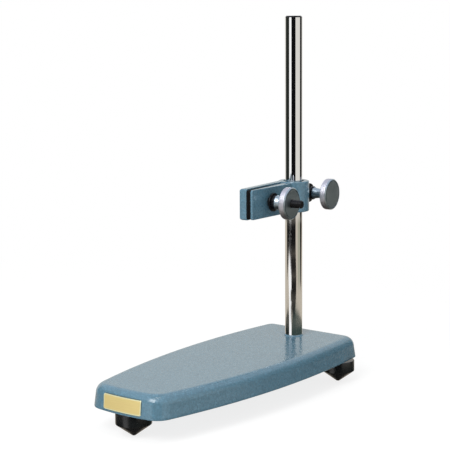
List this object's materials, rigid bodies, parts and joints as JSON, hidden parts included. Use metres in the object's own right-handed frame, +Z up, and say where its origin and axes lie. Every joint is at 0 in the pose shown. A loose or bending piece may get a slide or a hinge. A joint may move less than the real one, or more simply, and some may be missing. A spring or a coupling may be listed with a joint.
{
  "type": "micrometer stand",
  "caption": "Free-standing micrometer stand: heavy bow-sided base on pointed feet, round column, and a sliding pinch clamp with padded jaws closed by a turned knob.",
  "frame": {"origin": "on the floor under the middle of the whole stand", "axes": "+Z up along the column; the narrow front end of the base with its blank plate towards -Y; the jaw knob towards +X"},
  "size_m": [0.116, 0.2832, 0.3372],
  "materials": {
    "paint": "blue-grey hammered enamel on cast iron, semi-gloss",
    "chrome": "polished hard chrome",
    "steel": "zinc-plated steel",
    "knob_metal": "satin turned aluminium",
    "black_steel": "black oxide steel",
    "rubber": "glossy moulded black rubber",
    "pad_rubber": "matt black sheet rubber",
    "bronze": "plain bearing bronze",
    "plate_metal": "gold foil, blank"
  },
  "bodies": {
    "stand": {"base_casting": "paint", "name_plate": "plate_metal", "column": "chrome", "column_bolt": "steel", "column_washer": "steel", "front_foot": "rubber", "left_rear_foot": "rubber", "right_rear_foot": "rubber", "foot_studs": "steel"},
    "bush": {"clamp_bush": "bronze"},
    "clamp": {"clamp_body": "paint", "fixed_jaw_pad": "pad_rubber", "jaw_screw": "black_steel"},
    "jaw": {"moving_jaw": "paint", "moving_jaw_pad": "pad_rubber", "guide_pins": "steel", "jaw_washer": "black_steel", "jaw_collar": "black_steel"},
    "jaw_nut": {"jaw_knob": "knob_metal"},
    "pinch_seat": {"pinch_washer": "black_steel", "pinch_collar": "black_steel"},
    "pinch": {"pinch_knob": "knob_metal", "pinch_screw": "black_steel"}
  },
  "joints": [
    {"name": "clamp_height", "type": "slide", "parent": "stand", "child": "bush", "axis": [0, 0, 1], "range_m": [-0.11, 0.15]},
    {"name": "clamp_swing", "type": "hinge", "parent": "bush", "child": "clamp", "pos_m": [0, 0.10039, 0.1716], "axis": [0, 0, 1], "continuous": true},
    {"name": "jaw_open", "type": "slide", "parent": "clamp", "child": "jaw", "axis": [0.9957, 0.0924, 0], "range_m": [0, 0.008]},
    {"name": "jaw_knob_turn", "type": "hinge", "parent": "jaw", "child": "jaw_nut", "pos_m": [0.01432, 0.05432, 0.1716], "axis": [0.9957, 0.0924, 0], "range_deg": [0, 2880]},
    {"name": "pinch_travel", "type": "slide", "parent": "clamp", "child": "pinch_seat", "axis": [0.9957, 0.0924, 0], "range_m": [0, 0.0015]},
    {"name": "pinch_knob_turn", "type": "hinge", "parent": "pinch_seat", "child": "pinch", "pos_m": [0.0077, 0.12561, 0.1716], "axis": [0.9957, 0.0924, 0], "range_deg": [0, 540]}
  ],
  "couplings": [
    {"joint": "jaw_knob_turn", "follows": "jaw_open", "rad_per_m": 6283.2},
    {"joint": "pinch_knob_turn", "follows": "pinch_travel", "rad_per_m": 6283.2}
  ]
}
